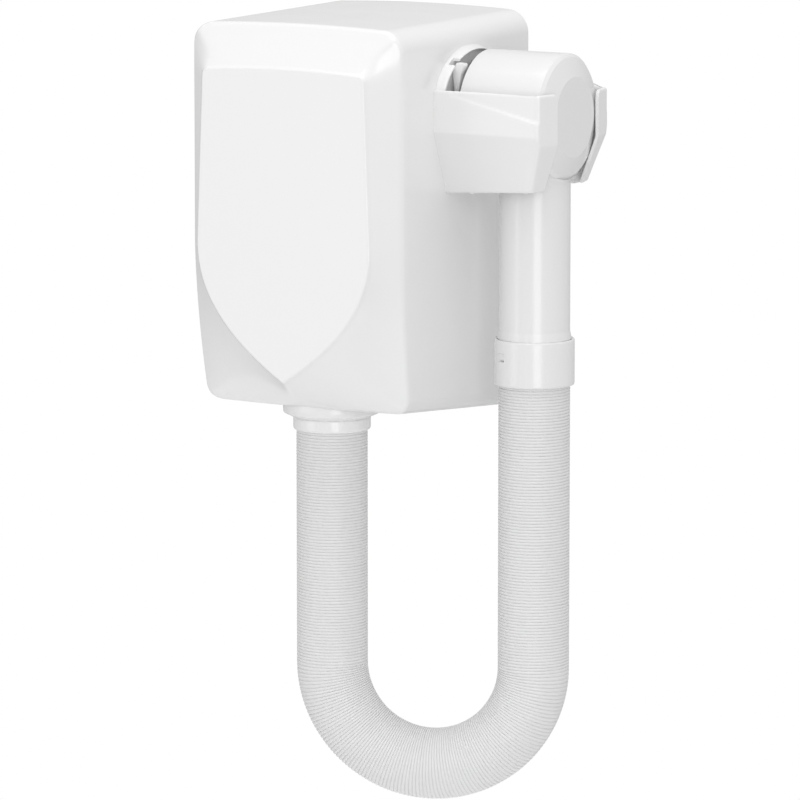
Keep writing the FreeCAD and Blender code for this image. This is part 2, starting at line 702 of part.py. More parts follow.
def holder_screws():
    """Screws from inside the housing's side wall into the bosses of the holder."""
    return sub_part("holder_screws", group(*[
        screw(1.5, 8, 3.2, 2, ("CoverHalfWidth - CoverWall - 2", f"HandsetY + {y}", f"DrumZ + {z}"), "X")
        for y, z in HOLDER_SCREWS]))


# ---------------------------------------------------------------- switch slider
def switch_slider():
    """Upright tab beside the head, with a toe that the head presses down and an arm to the switch inside."""
    tab = box((6, "TabWidth", "TabTop - TabFoot"), ("TabX", "TabY", "TabFoot"))
    toe = box((5.7, "TabWidth", 2.6), ("TabX + 5.9", "TabY", "TabFoot"))
    arm = box((17, 3, 4), ("TabX - 16.4", "TabY + 1", "ArmHeight"))
    return sub_part("switch_slider", fuse(tab, toe, arm))


def slider_spring():
    """Folded leaf spring that lifts the slider when the handset is away."""
    x, y, foot, top = size("TabX") + 1, size("TabY") + 1, 14.6, size("TabFoot") - 0.1
    middle, thick, span = (foot + top) / 2, 0.5, 3.2
    outline = [(x, foot), (x + span, foot), (x + span, foot + thick), (x + thick, foot + thick),
               (x + span, middle), (x + thick, top - thick), (x + span, top - thick), (x + span, top),
               (x, top), (x, top - thick), (x + span - 1.2, middle), (x, foot + thick)]
    points = [Vector(px, y, pz) for px, pz in outline]
    return sub_part("slider_spring", computed(
        Part.Face(Part.makePolygon(points + points[:1])).extrude(Vector(0, 3, 0))))


# ---------------------------------------------------------------- hose
# Centreline of the hose: straight down from the collar, a half turn, straight up to the cuff.
HOSE_ROUTE = [
    (0, -107.5, -123.5),
    (0, -107.5, -270.9),
    (14.5, -102.5, -297.4),
    (39.5, -93.8, -312.7),
    (68.5, -83.7, -312.7),
    (93.5, -75, -297.4),
    (108, -70, -270.9),
    (108, -70, -95.22),
]


def hose_path(points):
    """Straight runs joined by tangent arcs, each arc as large as its two runs allow."""
    edges, radii, last = [], [], points[0]
    for before, corner, after in zip(points, points[1:], points[2:]):
        back, ahead = before - corner, after - corner
        half_turn = (math.pi - back.getAngle(ahead)) / 2
        tangent = 0.45 * min(back.Length, ahead.Length)
        radius = tangent / math.tan(half_turn)
        enter = corner + back.normalize() * tangent
        leave = corner + ahead.normalize() * tangent
        inward = (back + ahead).normalize()
        crown = corner + inward * (radius / math.cos(half_turn) - radius)
        edges += [Part.LineSegment(last, enter).toShape(), Part.Arc(enter, crown, leave).toShape()]
        radii.append(round(radius, 1))
        last = leave
    edges.append(Part.LineSegment(last, points[-1]).toShape())
    return Part.Wire(edges), radii


def hose():
    """Flexible air hose between the outlet spigot and the handset's cuff."""
    path, radii = hose_path([Vector(*point) for point in HOSE_ROUTE])
    solids = []
    for radius in (size("HoseRadius"), size("HoseBore")):
        section = Part.Wire(Part.Circle(path.Vertexes[0].Point, Vector(0, 0, 1), radius).toShape())
        solids.append(path.makePipeShell([section], True, False))
    shape = solids[0].cut(solids[1])
    area = math.pi * (size("HoseRadius") ** 2 - size("HoseBore") ** 2)
    print("hose radii", radii, "length", round(path.Length, 1),
          "volume over section times length", round(shape.Volume / (area * path.Length), 4))
    return sub_part("hose", computed(shape))


def hose_collar():
    """Ring that holds the hose's first end on the outlet neck."""
    return sub_part("hose_collar", turned("HoseCollar", [
        ("NeckRadius + 0.05", "HoseStart"), ("CollarRadius", "HoseStart"),
        ("CollarRadius", "FlangeBottom - 2.1"), ("CollarRadius - 0.5", "FlangeBottom - 1.6"),
        ("NeckRadius + 0.05", "FlangeBottom - 1.6"),
    ], (0, "ColumnY", 0)))


# ---------------------------------------------------------------- handset
def handset_tube():
    """Upright handle tube, cut to the head's curve at its top."""
    axis = ("HandsetX", "HandsetY", "TubeBottom")
    wall = tube("TubeRadius", "TubeBore", "DrumZ - TubeBottom", axis)
    head = cylinder("DrumRadius", 80, ("DrumInner - 10", "HandsetY", "DrumZ"), "X")
    return sub_part("handset_tube", cut(wall, head))


def handset_cuff():
    """Swivel cuff that joins the hose to the tube, with a window for the catch."""
    ring_wall = turned("HandsetCuff", [
        ("TubeBore", "CuffBottom"), ("CuffRadius", "CuffBottom"), ("CuffRadius", "CuffTop - 1"),
        ("CuffRadius - 1", "CuffTop"), ("TubeRadius + 0.05", "CuffTop"), ("TubeRadius + 0.05", "TubeBottom"),
        ("TubeBore", "TubeBottom"),
    ], ("HandsetX", "HandsetY", 0))
    window = box((9, 6, 4), ("HandsetX - 17", "HandsetY - CuffRadius - 1", -80.6))
    return sub_part("handset_cuff", cut(ring_wall, window))


def cuff_catch():
    """Sprung catch that sits in the cuff's window and locks it on the tube."""
    block = box((8.4, 6, 3.4), ("HandsetX - 16.7", "HandsetY - CuffRadius - 1", -80.3))
    shell = tube("CuffRadius - 0.4", "TubeRadius + 0.1", 10, ("HandsetX", "HandsetY", -84))
    return sub_part("cuff_catch", common(block, shell))


def drum_shell():
    """Head of the handset: a drum across the top of the tube, open at both ends."""
    wall = tube("DrumRadius", "DrumRadius - DrumWall", "DrumOuter - DrumInner",
                ("DrumInner", "HandsetY", "DrumZ"), "X")
    inlet = cylinder("TubeBore", "DrumRadius + 4", ("HandsetX", "HandsetY", "DrumZ - DrumRadius - 4"))
    return sub_part("drum_shell", cut(wall, inlet))


def drum_cap():
    """Closed outer end of the head: a shoulder and a shallow cone to a flat disc, with a skirt in the drum."""
    shoulder = cone("DrumRadius", "CapRimRadius", "CapRim - DrumOuter", ("DrumOuter", "HandsetY", "DrumZ"), "X")
    outer = fuse(shoulder, cone("CapRimRadius", "CapFlatRadius", "CapFace - CapRim",
                                ("CapRim", "HandsetY", "DrumZ"), "X"))
    hollow = cone("CapRimRadius - DrumWall", "CapFlatRadius - DrumWall", "CapFace - CapRim",
                  ("DrumOuter", "HandsetY", "DrumZ"), "X")
    skirt = tube("DrumRadius - DrumWall - 0.1", "CapRimRadius - DrumWall", 5.5,
                 ("DrumOuter - 4.5", "HandsetY", "DrumZ"), "X")
    return sub_part("drum_cap", fuse(cut(outer, hollow), skirt))


def outlet_grille():
    """Guard across the air outlet: rings on a cross of bars."""
    start = ("DrumInner + 1", "HandsetY", "DrumZ")
    rings = [tube(f"DrumRadius - DrumWall - 0.1 - {gap}", f"DrumRadius - DrumWall - 2.1 - {gap}", 3, start, "X")
             for gap in (0, 6, 12, 18)]
    bars = [box((3, 1.6, "2 * (DrumRadius - DrumWall - 0.5)"),
                ("DrumInner + 1", "HandsetY - 0.8", "DrumZ - DrumRadius + DrumWall + 0.5")),
            box((3, "2 * (DrumRadius - DrumWall - 0.5)", 1.6),
                ("DrumInner + 1", "HandsetY - DrumRadius + DrumWall + 0.5", "DrumZ - 0.8"))]
    hub = cylinder(6, 3, start, "X")
    return sub_part("outlet_grille", fuse(*rings, *bars, hub))


# ---------------------------------------------------------------- build, check and write
for build in (wall_plate, front_cover, cover_screws, intake_grille, intake_filter,
              blower_housing, blower_lid, blower_strap, motor_bracket, motor_can, motor_end_cap, motor_bushes,
              motor_magnets, impeller, motor_shaft, armature, heater_sleeve, heater_frame, heater_coils,
              thermostat, thermal_fuse, duct_seal, outlet_spigot, terminal_block, terminal_screws, cable_grommet,
              cable_clamp, clamp_screws, control_board, capacitor, micro_switch, holder_bracket, holder_screws,
              switch_slider, slider_spring, hose, hose_collar, handset_tube, handset_cuff, cuff_catch,
              drum_shell, drum_cap, outlet_grille):
    build()
doc.recompute()

faults = [f"{thing.Label}: {thing.State}" for thing in doc.Objects
          if "Invalid" in thing.State or "Error" in thing.State]
for name, thing in sub_parts.items():
    if thing.Shape.isNull() or not thing.Shape.isValid() or not thing.Shape.Solids:
        faults.append(f"{name}: bad shape")
if faults:
    print("\n".join(faults))
    sys.exit(1)

os.makedirs("parts", exist_ok=True)
for name, thing in sub_parts.items():
    thing.Shape.exportStep(f"parts/{name}.step")
print(len(sub_parts), "sub-parts")
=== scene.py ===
"""Looks of the wall-mounted hair dryer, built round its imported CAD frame. Lengths are metres."""

import json
import math

import bmesh
import bpy
import numpy as np
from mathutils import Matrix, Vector


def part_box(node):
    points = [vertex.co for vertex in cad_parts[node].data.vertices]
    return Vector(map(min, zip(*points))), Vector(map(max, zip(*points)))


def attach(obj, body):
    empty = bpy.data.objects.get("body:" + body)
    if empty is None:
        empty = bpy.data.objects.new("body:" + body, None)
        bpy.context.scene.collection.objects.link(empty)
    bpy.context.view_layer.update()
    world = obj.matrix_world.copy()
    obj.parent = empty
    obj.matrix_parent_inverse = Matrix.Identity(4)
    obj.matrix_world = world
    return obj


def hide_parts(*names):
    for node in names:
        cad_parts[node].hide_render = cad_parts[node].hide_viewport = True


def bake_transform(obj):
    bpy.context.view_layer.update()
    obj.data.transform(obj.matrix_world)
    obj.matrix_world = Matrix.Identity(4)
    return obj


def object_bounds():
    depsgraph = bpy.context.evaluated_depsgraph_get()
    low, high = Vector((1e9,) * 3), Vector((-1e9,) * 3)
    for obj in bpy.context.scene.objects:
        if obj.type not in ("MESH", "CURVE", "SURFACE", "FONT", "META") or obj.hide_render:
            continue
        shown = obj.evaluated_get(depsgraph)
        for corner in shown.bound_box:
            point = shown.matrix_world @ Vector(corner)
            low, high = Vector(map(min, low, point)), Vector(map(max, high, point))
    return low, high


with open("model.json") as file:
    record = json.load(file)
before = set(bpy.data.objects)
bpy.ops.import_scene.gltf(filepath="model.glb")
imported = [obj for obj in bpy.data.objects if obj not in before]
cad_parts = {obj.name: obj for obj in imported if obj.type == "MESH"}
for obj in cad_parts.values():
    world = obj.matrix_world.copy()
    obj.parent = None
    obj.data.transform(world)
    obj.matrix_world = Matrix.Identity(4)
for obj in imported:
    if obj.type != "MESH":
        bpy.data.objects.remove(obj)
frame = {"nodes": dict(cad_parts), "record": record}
cad_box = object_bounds()
scene = bpy.context.scene
MM = 0.001


# ---------------------------------------------------------------- camera
VIEW_AZIMUTH = math.radians(29.361)
VIEW_ELEVATION = math.radians(8.958)
CAMERA_PLACE = Vector((1.7210, -3.0892, 0.4349))
CAMERA_LENS = 280.756

camera_data = bpy.data.cameras.new("camera")
camera_data.lens = CAMERA_LENS
camera_data.sensor_width = 36
camera_data.clip_end = 50
camera = bpy.data.objects.new("camera", camera_data)
camera.location = CAMERA_PLACE
camera.rotation_euler = (math.pi / 2 - VIEW_ELEVATION, 0, VIEW_AZIMUTH)
scene.collection.objects.link(camera)
scene.camera = camera


# ---------------------------------------------------------------- materials
def moulded(name, colour, roughness, grain=0.00006, grain_scale=900, mottle=0.012, coat=0.0, metal=0.0):
    """Procedural surface: faint mottling of colour and gloss, and a fine grain in the bump."""
    material = bpy.data.materials.new(name)
    material.use_nodes = True
    nodes, links = material.node_tree.nodes, material.node_tree.links
    shader = nodes["Principled BSDF"]
    shader.inputs["Metallic"].default_value = metal
    shader.inputs["Coat Weight"].default_value = coat
    shader.inputs["Coat Roughness"].default_value = 0.12
    place = nodes.new("ShaderNodeTexCoord")

    cloud = nodes.new("ShaderNodeTexNoise")
    cloud.inputs["Scale"].default_value = 38
    cloud.inputs["Detail"].default_value = 4
    links.new(place.outputs["Object"], cloud.inputs["Vector"])
    tint = nodes.new("ShaderNodeMapRange")
    tint.inputs["To Min"].default_value = 1 - mottle
    tint.inputs["To Max"].default_value = 1
    links.new(cloud.outputs["Fac"], tint.inputs["Value"])
    shade = nodes.new("ShaderNodeMix")
    shade.data_type = "RGBA"
    shade.blend_type = "MULTIPLY"
    shade.inputs["Factor"].default_value = 1
    shade.inputs["A"].default_value = (*colour, 1)
    links.new(tint.outputs["Result"], shade.inputs["B"])
    links.new(shade.outputs["Result"], shader.inputs["Base Color"])

    gloss = nodes.new("ShaderNodeMapRange")
    gloss.inputs["To Min"].default_value = roughness * 0.9
    gloss.inputs["To Max"].default_value = roughness * 1.15
    links.new(cloud.outputs["Fac"], gloss.inputs["Value"])
    links.new(gloss.outputs["Result"], shader.inputs["Roughness"])

    fine = nodes.new("ShaderNodeTexNoise")
    fine.inputs["Scale"].default_value = grain_scale
    fine.inputs["Detail"].default_value = 3
    links.new(place.outputs["Object"], fine.inputs["Vector"])
    bump = nodes.new("ShaderNodeBump")
    bump.inputs["Strength"].default_value = 0.25
    bump.inputs["Distance"].default_value = grain
    links.new(fine.outputs["Fac"], bump.inputs["Height"])
    links.new(bump.outputs["Normal"], shader.inputs["Normal"])
    return material


WHITE = (0.86, 0.86, 0.86)
gloss_white = moulded("gloss_white", WHITE, 0.21, mottle=0.006, coat=0.25)
handset_white = moulded("handset_white", (0.815, 0.815, 0.815), 0.22, mottle=0.006, coat=0.2)
satin_white = moulded("satin_white", WHITE, 0.34, grain_scale=1400)
hose_grey = moulded("hose_grey", (0.77, 0.77, 0.77), 0.42, grain=0.00001, mottle=0.02)
duct_grey = moulded("duct_grey", (0.42, 0.43, 0.44), 0.4)
FINISHES = {
    "cover_white": gloss_white,
    "holder_white": satin_white,
    "handset_white": handset_white,
    "plate_white": satin_white,
    "hose_grey": hose_grey,
    "duct_grey": duct_grey,
    "steel": moulded("steel", (0.62, 0.62, 0.63), 0.28, metal=1.0, mottle=0.06),
    "ferrite": moulded("ferrite", (0.06, 0.06, 0.065), 0.55, mottle=0.2),
    "bronze": moulded("bronze", (0.55, 0.36, 0.18), 0.35, metal=1.0, mottle=0.1),
    "mica": moulded("mica", (0.72, 0.66, 0.52), 0.5, mottle=0.2, grain_scale=300),
    "element_wire": moulded("element_wire", (0.45, 0.42, 0.40), 0.35, metal=1.0, mottle=0.1),
    "thermostat_metal": moulded("thermostat_metal", (0.68, 0.68, 0.66), 0.32, metal=1.0),
    "seal_rubber": moulded("seal_rubber", (0.05, 0.05, 0.05), 0.6, mottle=0.2),
    "filter_foam": moulded("filter_foam", (0.10, 0.10, 0.11), 0.9, grain=0.0006, grain_scale=700, mottle=0.4),
    "board_green": moulded("board_green", (0.03, 0.20, 0.08), 0.4, mottle=0.25, grain_scale=400),
    "capacitor_sleeve": moulded("capacitor_sleeve", (0.04, 0.05, 0.10), 0.3, mottle=0.1),
}

for row in frame["record"]["subparts"]:
    mesh = frame["nodes"][row["node"]].data
    mesh.materials.clear()
    mesh.materials.append(FINISHES[row["material_slot"]])


# ---------------------------------------------------------------- mesh helpers
def make_piece(name, body, slot, nodes, points, faces, sharp=35):
    """A mesh piece with its slot's finish, riding on a body in place of some CAD nodes."""
    mesh = bpy.data.meshes.new(name)
    mesh.from_pydata([tuple(point) for point in points], [], faces)
    mesh.validate()
    tidy = bmesh.new()
    tidy.from_mesh(mesh)
    bmesh.ops.remove_doubles(tidy, verts=tidy.verts, dist=1e-7)
    bmesh.ops.recalc_face_normals(tidy, faces=tidy.faces)
    tidy.to_mesh(mesh)
    tidy.free()
    piece = bpy.data.objects.new(name, mesh)
    scene.collection.objects.link(piece)
    mesh.materials.append(FINISHES[slot])
    shade(mesh, sharp)
    if body:
        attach(piece, body)
    if nodes:
        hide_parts(*nodes)
    return piece


def shade(mesh, sharp):
    """Smooth shading with a break where faces meet at more than an angle in degrees."""
    mesh.polygons.foreach_set("use_smooth", [True] * len(mesh.polygons))
    mesh.set_sharp_from_angle(angle=math.radians(sharp))


def skin(rings, closed_loop=True, cap_first=False, cap_last=False, around=False):
    """Points and faces of a surface through rings of equal count. around joins the last ring to the first."""
    count = len(rings[0])
    points = [point for ring in rings for point in ring]
    faces = []
    last = len(rings) if around else len(rings) - 1
    for row in range(last):
        here, there = row * count, (row + 1) % len(rings) * count
        for k in range(count if closed_loop else count - 1):
            following = (k + 1) % count
            faces.append((here + k, here + following, there + following, there + k))
    if cap_first:
        faces.append(tuple(range(count)))
    if cap_last:
        faces.append(tuple(range((len(rings) - 1) * count, len(rings) * count)))
    return points, faces


def eased(corners, closed=True, steps=5):
    """A plane outline from (u, v, radius) corners, each turned by an arc where its radius isn't zero."""
    outline = []
    count = len(corners)
    for k, (u, v, radius) in enumerate(corners):
        here = Vector((u, v))
        if radius == 0 or (not closed and k in (0, count - 1)):
            outline.append(here)
            continue
        back = Vector(corners[k - 1][:2]) - here
        ahead = Vector(corners[(k + 1) % count][:2]) - here
        half_turn = (math.pi - back.angle(ahead)) / 2
        tangent = min(radius * math.tan(half_turn), 0.49 * back.length, 0.49 * ahead.length)
        enter, leave = here + back.normalized() * tangent, here + ahead.normalized() * tangent
        for step in range(steps + 1):
            share = step / steps
            outline.append(enter.lerp(here, share).lerp(here.lerp(leave, share), share))
    return outline


AXES = {"Z": (Vector((1, 0, 0)), Vector((0, 1, 0)), Vector((0, 0, 1))),
        "X": (Vector((0, 1, 0)), Vector((0, 0, 1)), Vector((1, 0, 0)))}


def circle(centre, across, up, radius, steps):
    """Points round a circle, from its centre and two directions at right angles."""
    turns = [2 * math.pi * k / steps for k in range(steps)]
    return [centre + across * (radius * math.cos(turn)) + up * (radius * math.sin(turn)) for turn in turns]


def turned(corners, centre, axis="Z", steps=128):
    """Rings of a solid of revolution: corners are (radius, place along the axis, rounding), all in metres."""
    across, up, along = AXES[axis]
    rings = [circle(centre + along * height, across, up, radius, steps) for radius, height in eased(corners)]
    return skin(rings, around=True)


def cutter(points, faces):
    """A closed shell that is cut out of a piece or gathered into one."""
    mesh = bpy.data.meshes.new("cutter")
    mesh.from_pydata([tuple(point) for point in points], [], faces)
    tidy = bmesh.new()
    tidy.from_mesh(mesh)
    bmesh.ops.recalc_face_normals(tidy, faces=tidy.faces)
    tidy.to_mesh(mesh)
    tidy.free()
    thing = bpy.data.objects.new("cutter", mesh)
    scene.collection.objects.link(thing)
    return thing


def round_cutter(radius, start, end, steps=96):
    """A closed cylinder between two points."""
    along = (end - start).normalized()
    across = along.orthogonal().normalized()
    up = along.cross(across)
    rings = [circle(place, across, up, radius, steps) for place in (start, end)]
    return cutter(*skin(rings, cap_first=True, cap_last=True))


def block_cutter(low, high, tilt=0.0, about=Vector((0, 0, 0))):
    """A box between two corners, tilted about the X axis through a point."""
    corners = ((low[0], low[1]), (high[0], low[1]), (high[0], high[1]), (low[0], high[1]))
    rings = [[tilted(Vector((x, y, z)), tilt, about) for x, y in corners] for z in (low[2], high[2])]
    return cutter(*skin(rings, cap_first=True, cap_last=True))


def tilted(point, tilt, about):
    """A point turned about the X axis through another point."""
    y, z = point.y - about.y, point.z - about.z
    return Vector((point.x, about.y + y * math.cos(tilt) - z * math.sin(tilt),
                   about.z + y * math.sin(tilt) + z * math.cos(tilt)))


def gather(piece, things, sharp=35):
    """Puts the meshes of other things into a piece, as closed shells that run into each other."""
    whole_mesh = bmesh.new()
    for mesh in [piece.data, *(thing.data for thing in things)]:
        whole_mesh.from_mesh(mesh)
    whole_mesh.to_mesh(piece.data)
    whole_mesh.free()
    for thing in things:
        bpy.data.objects.remove(thing)
    shade(piece.data, sharp)


def cut_away(piece, cutters, sharp=35):
    """Takes the cutters' space out of a piece, and leaves no modifier on it."""
    for tool in cutters:
        change = piece.modifiers.new("cut", "BOOLEAN")
        change.operation = "DIFFERENCE"
        change.solver = "EXACT"
        change.object = tool
    bpy.context.view_layer.update()
    graph = bpy.context.evaluated_depsgraph_get()
    result = bpy.data.meshes.new_from_object(piece.evaluated_get(graph))
    piece.modifiers.clear()
    piece.data = result
    for tool in cutters:
        bpy.data.objects.remove(tool)
    shade(result, sharp)


# ---------------------------------------------------------------- hose
HOSE_ROUTE = [
    (0, -0.1075, -0.1235),
    (0, -0.1075, -0.2403),
    (0, -0.1075, -0.2709),
    (0.0145, -0.1025, -0.2974),
    (0.0395, -0.0938, -0.3127),
    (0.0685, -0.0837, -0.3127),
    (0.0935, -0.0750, -0.2974),
    (0.1080, -0.0700, -0.2709),
    (0.1080, -0.0700, -0.2403),
    (0.1080, -0.0700, -0.09522),
]
HOSE_RADIUS = 20 * MM
RIB_PITCH = 1.73 * MM
RIB_DEPTH = 0.6 * MM
CREST_SLACK = 0.03 * MM
HOSE_WALL = 1.5 * MM
HOSE_STEPS = 56
RIB_PHASES = (0.0, 0.1, 0.26, 0.5, 0.74, 0.9)


def route_line(points):
    """Closely spaced points along the smooth spline that has the route as its control points."""
    data = bpy.data.curves.new("route", "CURVE")
    data.dimensions = "3D"
    data.resolution_u = 64
    spline = data.splines.new("NURBS")
    spline.points.add(len(points) - 1)
    for knot, point in zip(spline.points, points):
        knot.co = (*point, 1)
    spline.order_u = 3
    spline.use_endpoint_u = True
    thing = bpy.data.objects.new("route", data)
    scene.collection.objects.link(thing)
    bpy.context.view_layer.update()
    mesh = bpy.data.meshes.new_from_object(thing)
    line = [vertex.co.copy() for vertex in mesh.vertices]
    bpy.data.objects.remove(thing)
    return line


def along_line(line, distances):
    """Point and direction at each distance along a line."""
    reach = [0.0]
    for here, there in zip(line, line[1:]):
        reach.append(reach[-1] + (there - here).length)
    found, k = [], 0
    for distance in distances:
        while k < len(line) - 2 and reach[k + 1] < distance:
            k += 1
        share = (distance - reach[k]) / max(reach[k + 1] - reach[k], 1e-9)
        found.append((line[k].lerp(line[k + 1], min(share, 1)), (line[k + 1] - line[k]).normalized()))
    return found, reach[-1]


def rib_radius(phase):
    """Rounded rib with a narrow groove on each side."""
    return HOSE_RADIUS - CREST_SLACK - RIB_DEPTH * (2 * phase - 1) ** 4


def build_hose():
    """Ribbed hose along its route, which bends between the wall unit and the handset."""
    line = route_line(HOSE_ROUTE)
    _, length = along_line(line, [0])
    ribs = round(length / RIB_PITCH)
    stations, radii = [], []
    for rib in range(ribs):
        for phase in RIB_PHASES:
            stations.append((rib + phase) * length / ribs)
            radii.append(rib_radius(phase))
    stations.append(length)
    radii.append(rib_radius(1))
    places, _ = along_line(line, stations)
    across_bend = (Vector(HOSE_ROUTE[-1]) - Vector(HOSE_ROUTE[0])).cross(Vector((0, 0, 1))).normalized()
    rings = []
    for (place, direction), radius in zip(places, radii):
        other = direction.cross(across_bend).normalized()
        rings.append(circle(place, across_bend, other, radius, HOSE_STEPS))
    bore = []
    for place, direction in reversed(places[::12] + places[-1:]):
        other = direction.cross(across_bend).normalized()
        bore.append(circle(place, across_bend, other, HOSE_RADIUS - HOSE_WALL, HOSE_STEPS))
    piece = make_piece("air_hose", None, "hose_grey", ["hose"], *skin(rings + bore, around=True), sharp=60)
    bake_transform(piece)


build_hose()


# ---------------------------------------------------------------- housing
cover_low, cover_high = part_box("front_cover")
HALF_WIDTH = cover_high.x
TOP = cover_high.z
WALL_BOTTOM = cover_low.z
FACE = cover_low.y
FRONT_EDGE = FACE + 17 * MM
FRONT_BOTTOM = -108.4 * MM
SWEEP = 11 * MM
SHOULDER = -14.5 * MM
TOP_BOW = 2.0 * MM
BOTTOM_BOW = 0.8 * MM
TOP_CORNER = 13 * MM
LOW_CORNER = 9.5 * MM
WAIST = 1.6 * MM
WALL = 2.5 * MM
FRONT_WALL, FACE_WALL = 3.2 * MM, 4 * MM
SHIELD_TOP = 82.6 * MM
SHIELD_BOW = 2.0 * MM
SHIELD_HALF_TOP = 51 * MM
SHIELD_HALF = 54.6 * MM
SHIELD_TIP = -91.2 * MM
SHIELD_CORNER = 3.5 * MM
SHIELD_CREASE = 0.6 * MM
SHIELD_TAPER = 2.2
SHIELD_STEP, SHIELD_BEVEL = 0.7 * MM, 1.0 * MM
FACE_CROWN = 0.5 * MM
EDGE_ROUND = 2.2 * MM
CREASE_REACH = 1.6 * MM
ARM_SLOT_LOW, ARM_SLOT_HIGH = 37 * MM, 49 * MM


def edge_outline(bottom, inset=0.0):
    """Right half of the housing's outline, from mid-top to mid-bottom, as (x, z)."""
    half, low_half = HALF_WIDTH - inset, HALF_WIDTH - WAIST - inset
    top, low = TOP - inset, bottom + inset
    corner, low_corner = TOP_CORNER - inset, LOW_CORNER - inset

    def top_at(x):
        return top - TOP_BOW * (x / half) ** 2

    def bottom_at(x):
        return low + BOTTOM_BOW * (x / half) ** 2

    slope = math.atan(2 * TOP_BOW * (half - corner) / half**2)
    low_slope = math.atan(2 * BOTTOM_BOW * (low_half - low_corner) / half**2)
    join = half - corner + corner * math.sin(slope)
    outline = [(join * k / 22, top_at(join * k / 22)) for k in range(22)]
    centre = top_at(join) - corner * math.cos(slope)
    for k in range(17):
        angle = math.pi / 2 - slope - (math.pi / 2 - slope) * k / 16
        outline.append((half - corner + corner * math.cos(angle), centre + corner * math.sin(angle)))
    outline += [(half, centre + (SHOULDER - centre) * k / 26) for k in range(1, 27)]
    low_join = low_half - low_corner + low_corner * math.sin(low_slope)
    low_centre = bottom_at(low_join) + low_corner * math.cos(low_slope)
    for k in range(1, 31):
        share = k / 30
        outline.append((half - WAIST * share**1.8, SHOULDER + (low_centre - SHOULDER) * share))
    for k in range(1, 15):
        angle = -(math.pi / 2 - low_slope) * k / 14
        outline.append((low_half - low_corner + low_corner * math.cos(angle),
                        low_centre + low_corner * math.sin(angle)))
    outline += [(low_join * (1 - k / 24), bottom_at(low_join * (1 - k / 24))) for k in range(1, 25)]
    return outline


def shield_outline():
    """Right half of the shield's outline, with as many points on each stretch as the housing's outline."""
    def top_at(x):
        return SHIELD_TOP - SHIELD_BOW * (x / SHIELD_HALF_TOP) ** 2

    join = SHIELD_HALF_TOP - SHIELD_CORNER
    centre = top_at(join) - SHIELD_CORNER
    outline = [(join * k / 22, top_at(join * k / 22)) for k in range(22)]
    for k in range(17):
        angle = math.pi / 2 * (1 - k / 16)
        outline.append((join + SHIELD_CORNER * math.cos(angle), centre + SHIELD_CORNER * math.sin(angle)))
    for k in range(1, 27):
        share = k / 26
        outline.append((SHIELD_HALF_TOP + (SHIELD_HALF - SHIELD_HALF_TOP) * share,
                        centre + (SHOULDER - centre) * share))
    for first, last, count in ((0, 0.60, 30), (0.60, 0.75, 14), (0.75, 1, 24)):
        for k in range(1, count + 1):
            share = first + (last - first) * k / count
            outline.append((SHIELD_HALF * (1 - share**SHIELD_TAPER),
                            SHOULDER - (SHOULDER - SHIELD_TIP) * share))
    return outline


def whole(half):
    """A closed outline from its right half."""
    return np.array(half + [(-x, z) for x, z in half[-2:0:-1]])


def edge_depth(z):
    """Depth of the housing's front edge: upright above the shoulder, swept back towards the bottom."""
    share = np.clip((SHOULDER - z) / (SHOULDER - FRONT_BOTTOM), 0, 1.1)
    return FRONT_EDGE + SWEEP * share**1.75


def distance_to(outline, points):
    """Distance from each point to a closed outline."""
    start, end = outline, np.roll(outline, -1, axis=0)
    run = end - start
    offset = points[:, None, :] - start[None]
    share = np.clip((offset * run).sum(2) / np.maximum((run**2).sum(1), 1e-18), 0, 1)
    return np.sqrt(((offset - share[..., None] * run) ** 2).sum(2)).min(1)


def inside(outline, points):
    """Which points lie inside a closed outline."""
    x, z = points[:, 0][:, None], points[:, 1][:, None]
    x0, z0 = outline[:, 0][None], outline[:, 1][None]
    x1, z1 = np.roll(outline[:, 0], -1)[None], np.roll(outline[:, 1], -1)[None]
    spans = (z0 > z) != (z1 > z)
    crossing = x0 + (z - z0) * (x1 - x0) / np.where(z1 == z0, 1e-12, z1 - z0)
    return (spans & (x < crossing)).sum(1) % 2 == 1


def front_depth(points, shield):
    """Depth of the front: crowned shield, a soft crease, then flanks that fall to the front edge."""
    x, z = np.abs(points[:, 0]), points[:, 1]
    signed = distance_to(shield, points)
    signed = np.where(inside(shield, points), -signed, signed)
    out = np.where(signed > SHIELD_CREASE, signed,
                   np.clip(signed + SHIELD_CREASE, 0, None) ** 2 / (4 * SHIELD_CREASE))
    low_share = np.clip((SHOULDER - z) / (SHOULDER - FRONT_BOTTOM), 0, 1)
    side = np.maximum(HALF_WIDTH - WAIST * low_share**1.8 - x, 1e-7)
    low = np.maximum(z - FRONT_BOTTOM - BOTTOM_BOW * (x / HALF_WIDTH) ** 2, 1e-7)
    high = np.maximum(TOP - TOP_BOW * (x / HALF_WIDTH) ** 2 - z, 1e-7)
    flank = (side**-2.2 + low**-2.2) ** (-1 / 2.2)
    edge = (flank**-9.0 + high**-9.0) ** (-1 / 9.0)
    share = out / (out + edge)
    crown = FACE + FACE_CROWN * ((x / SHIELD_HALF) ** 2 + (z / SHIELD_TIP) ** 2) / 2
    step = SHIELD_STEP * np.clip(out / SHIELD_BEVEL, 0, 1)
    return (crown + step) * (1 - share) + edge_depth(z) * share


def raised(flat, depth):
    """Points of a flat ring, each at its own depth."""
    return [Vector((x, y, z)) for (x, z), y in zip(flat, depth)]


